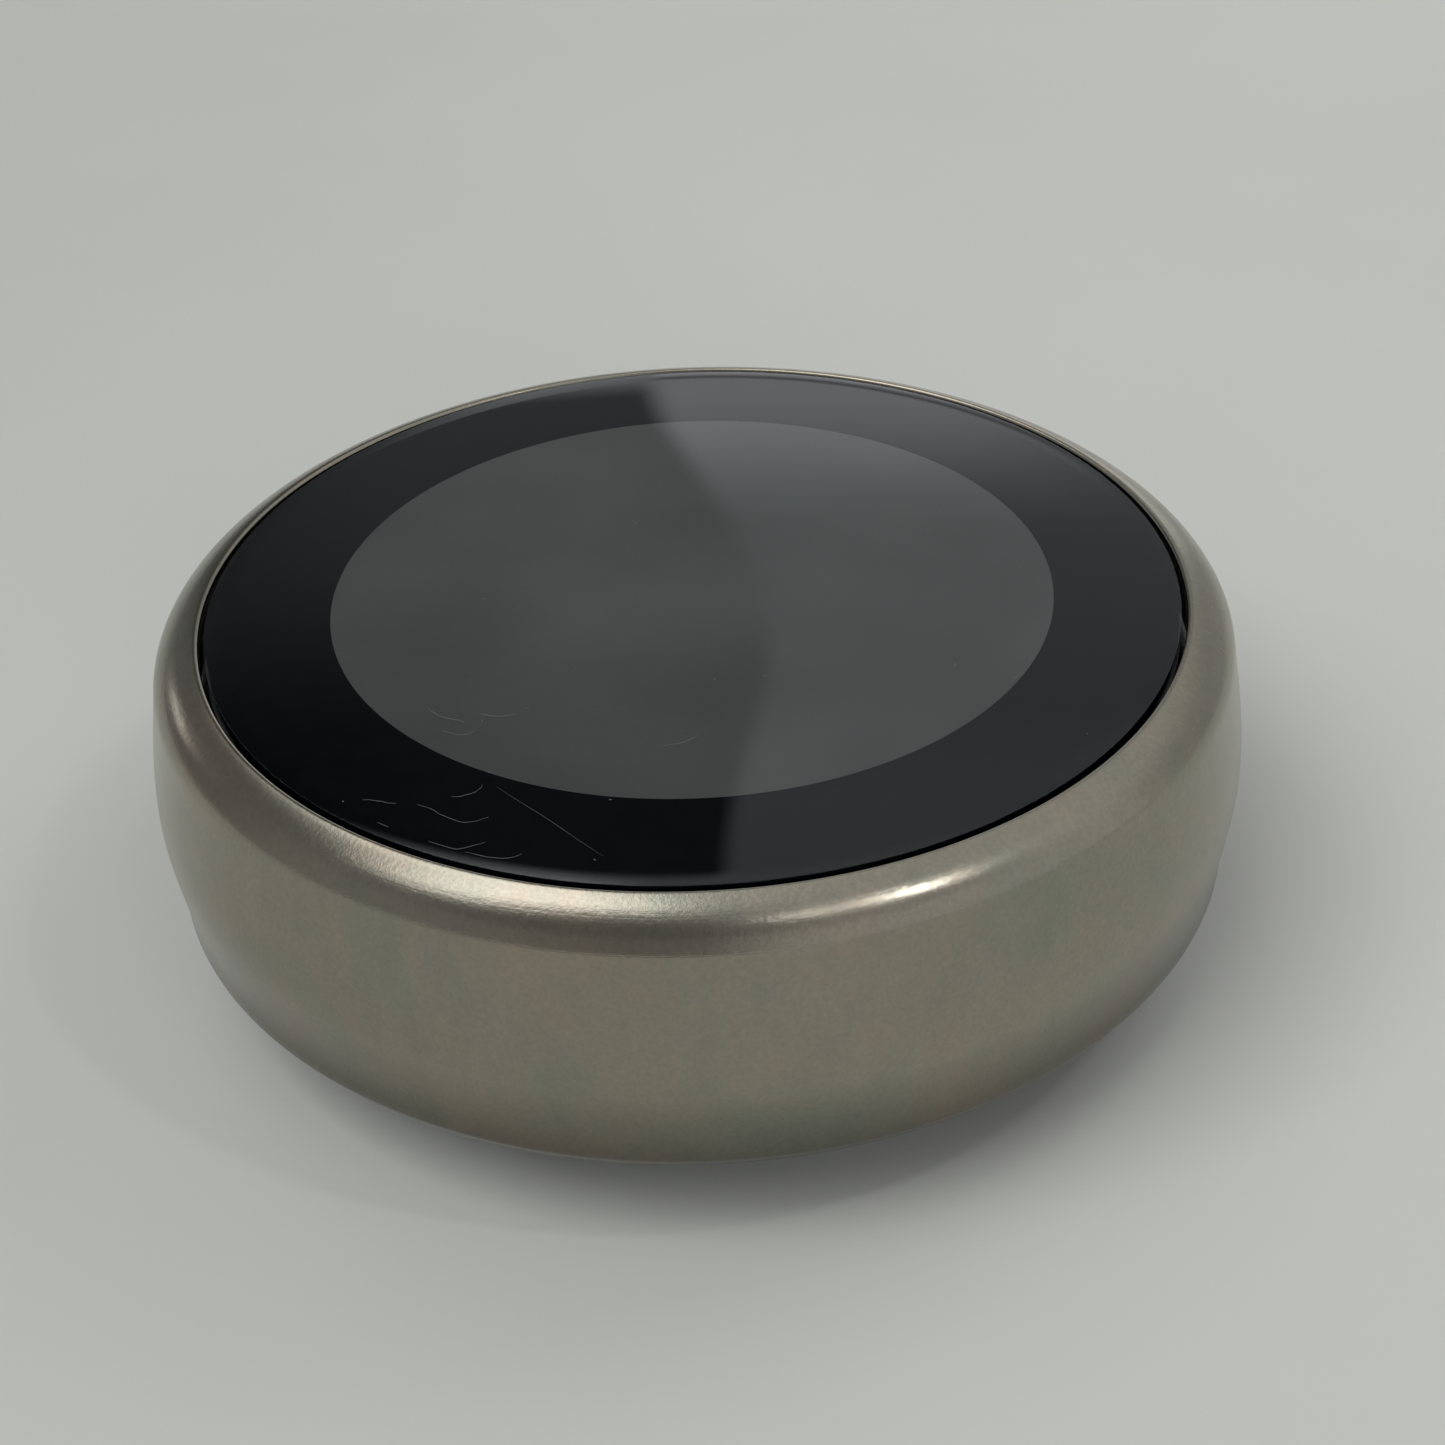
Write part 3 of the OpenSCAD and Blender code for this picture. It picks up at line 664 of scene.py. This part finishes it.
# yaw, pitch and roll in degrees
CAMERA_TURN = (-0.60, -33.82, -2.31)
CAMERA_LENS = 71.3


def make_stage():
    """A wide round table top, just under the wall base."""
    shape = bmesh.new()
    add_lathe(shape, [(r, TABLE_TOP) for r in TABLE_RADII], 96, closed=False)
    mesh = bpy.data.meshes.new("table_top")
    shape.to_mesh(mesh)
    shape.free()
    mesh.materials.append(pale_table())
    table = bpy.data.objects.new("table_top", mesh)
    bpy.context.scene.collection.objects.link(table)


def direction(azimuth, elevation):
    """Unit vector. Azimuth 0 is the +Y side and 90 the +X side, both in degrees."""
    a, e = math.radians(azimuth), math.radians(elevation)
    return Vector((math.sin(a) * math.cos(e), math.cos(a) * math.cos(e), math.sin(e)))


def strip_light(name, start, end, width, brightness, distance, mirrored):
    """Soft strip of light between two directions (azimuth, elevation), facing the object."""
    a, b = (direction(*d) * distance for d in (start, end))
    light = bpy.data.lights.new(name, "AREA")
    light.shape = "RECTANGLE"
    light.size = (b - a).length
    light.size_y = width
    light.energy = brightness * light.size * width * math.pi
    along = (b - a).normalized()
    away = (a + b).normalized()
    lamp = bpy.data.objects.new(name, light)
    lamp.matrix_world = Matrix((along, away.cross(along), away)).transposed().to_4x4()
    lamp.location = (a + b) / 2
    lamp.visible_camera = False
    lamp.visible_glossy = mirrored
    bpy.context.scene.collection.objects.link(lamp)


class RoomNodes:
    """The world's nodes, with short helpers for sums over the direction that is looked in."""

    def __init__(self, name):
        world = bpy.data.worlds.new(name)
        bpy.context.scene.world = world
        world.use_nodes = True
        self.tree = world.node_tree
        self.tree.nodes.clear()

    def add(self, kind, **settings):
        node = self.tree.nodes.new(kind)
        for key, value in settings.items():
            setattr(node, key, value)
        return node

    def calc(self, operation, *values):
        node = self.add("ShaderNodeMath", operation=operation)
        for index, value in enumerate(values):
            if isinstance(value, (int, float)):
                node.inputs[index].default_value = value
            else:
                self.tree.links.new(value, node.inputs[index])
        return node.outputs[0]

    def total(self, first, *others):
        for other in others:
            first = self.calc("ADD", first, other)
        return first

    def product(self, first, *others):
        for other in others:
            first = self.calc("MULTIPLY", first, other)
        return first

    def blend(self, a, b, share):
        return self.total(self.product(a, self.calc("SUBTRACT", 1.0, share)), self.product(b, share))

    def step(self, value, low, high, a=0.0, b=1.0):
        """A smooth step from a, below low, to b, above high."""
        node = self.add("ShaderNodeMapRange", interpolation_type="SMOOTHSTEP")
        for key, number in {"From Min": low, "From Max": high, "To Min": a, "To Max": b}.items():
            node.inputs[key].default_value = number
        self.tree.links.new(value, node.inputs["Value"])
        return node.outputs["Result"]


def room_walls(w, x, y, z, across, along):
    """Dim walls in front and on the left, paler ones on the right, and a bright ceiling behind."""
    step = w.step
    walls = w.total(step(x, -0.05, 0.35, 0.25, 0.62), step(x, -0.9, -0.2, 0.08, 0.0))
    walls = w.product(walls, step(z, 0.55, 0.75, 1.0, 0.75), step(y, -0.1, 0.4, 1.0, 0.68))
    ceiling = w.product(step(along, -0.5, -0.05), step(z, 0.3, 0.65), step(across, -0.95, -0.45))
    return w.blend(walls, CEILING_LEVEL, ceiling)


def behind_object(w, side, z):
    """What the glass mirrors: pale to the right of a leaning edge, dim to its left."""
    step = w.step
    edge = w.total(step(z, 0.34, 0.56, -0.025, 0.035), step(z, 0.56, 0.70, 0.0, -0.03))
    right = step(w.calc("SUBTRACT", side, edge), 0.0, 0.02)
    glow = w.product(step(z, 0.29, 0.35), step(z, 0.36, 0.48, 0.6, 0.0), step(side, 0.12, 0.3, 1.0, 0.0))
    pale = w.total(PALE_LEVEL, glow, step(z, 0.58, 0.67, 0.0, 0.12), step(z, 0.20, 0.30, 0.60, 0.0))
    lobe = w.product(
        step(z, 0.46, 0.53), step(z, 0.53, 0.62, 1.0, 0.0), step(side, -0.12, -0.05, 0.0, 0.16)
    )
    dim = w.total(DIM_LEVEL, lobe, step(z, 0.45, 0.60, 0.0, -0.15))
    dim = w.product(dim, step(side, -0.30, -0.12, 0.55, 1.0))
    low_glow = w.product(step(z, 0.335, 0.355, 0.45, 0.0), step(side, -0.20, -0.06))
    return w.blend(w.total(dim, low_glow), pale, right)


def overhead_panel(w, across, along):
    """A large soft panel on the left, reaching further left along its front edge."""
    step = w.step
    left = w.calc("SUBTRACT", across, step(along, 0.05, 0.30, 0.0, 0.25))
    return w.product(
        step(left, -0.95, -0.50), step(across, -0.13, -0.03, 1.0, 0.0),
        step(along, -0.26, -0.04), step(along, 0.5, 1.0, 1.0, 0.0), PANEL_LEVEL,
    )


def make_room():
    """A soft room as metal and glass mirror it; matte surfaces get an even light instead."""
    w = RoomNodes("soft_room")
    split = w.add("ShaderNodeSeparateXYZ")
    w.tree.links.new(w.add("ShaderNodeTexCoord").outputs["Generated"], split.inputs[0])
    x, y, z = split.outputs
    # where each direction meets a ceiling one unit up
    up = w.calc("MAXIMUM", z, 0.1)
    across = w.calc("DIVIDE", x, up)
    along = w.calc("DIVIDE", y, up)
    side = w.calc("DIVIDE", x, w.calc("MAXIMUM", y, 0.05))
    behind = w.product(
        w.step(y, 0.30, 0.60), w.step(z, 0.70, 0.80, 1.0, 0.0),
        w.step(side, 0.42, 0.60, 1.0, 0.0), w.step(side, -0.60, -0.42),
    )
    level = w.blend(room_walls(w, x, y, z, across, along), behind_object(w, side, z), behind)
    level = w.total(level, overhead_panel(w, across, along))
    path = w.add("ShaderNodeLightPath")
    level = w.blend(level, EVEN_LEVEL, path.outputs["Is Diffuse Ray"])
    seen = w.add("ShaderNodeMix", data_type="RGBA")
    w.tree.links.new(path.outputs["Is Camera Ray"], seen.inputs["Factor"])
    colours = [s for s in seen.inputs if s.type == "RGBA"]
    w.tree.links.new(level, colours[0])
    colours[1].default_value = (*BACKDROP, 1.0)
    back = w.add("ShaderNodeBackground")
    w.tree.links.new([s for s in seen.outputs if s.type == "RGBA"][0], back.inputs["Color"])
    w.tree.links.new(back.outputs[0], w.add("ShaderNodeOutputWorld").inputs[0])


def make_camera():
    """The camera, placed from the middle of the ring's lip."""
    distance, elevation = CAMERA_DISTANCE, math.radians(CAMERA_ELEVATION)
    yaw, pitch, roll = CAMERA_TURN
    data = bpy.data.cameras.new("camera")
    data.sensor_width = 36.0
    data.lens = CAMERA_LENS
    data.clip_start = 0.01
    data.clip_end = 50.0
    camera = bpy.data.objects.new("camera", data)
    place = Vector((0.0, -distance * math.cos(elevation), lip_z + distance * math.sin(elevation))) * MM
    turn = (
        Matrix.Rotation(math.radians(yaw), 4, "Z")
        @ Matrix.Rotation(math.radians(90 + pitch), 4, "X")
        @ Matrix.Rotation(math.radians(roll), 4, "Z")
    )
    camera.matrix_world = Matrix.Translation(place) @ turn
    bpy.context.scene.collection.objects.link(camera)
    bpy.context.scene.camera = camera


make_camera()
make_room()
make_stage()
for light_values in LIGHTS:
    strip_light(*light_values)
make_ring()
make_glass()
make_border()
make_display()
make_wear()
make_others()

bpy.context.scene.view_settings.view_transform = "Standard"
bpy.context.view_layer.update()
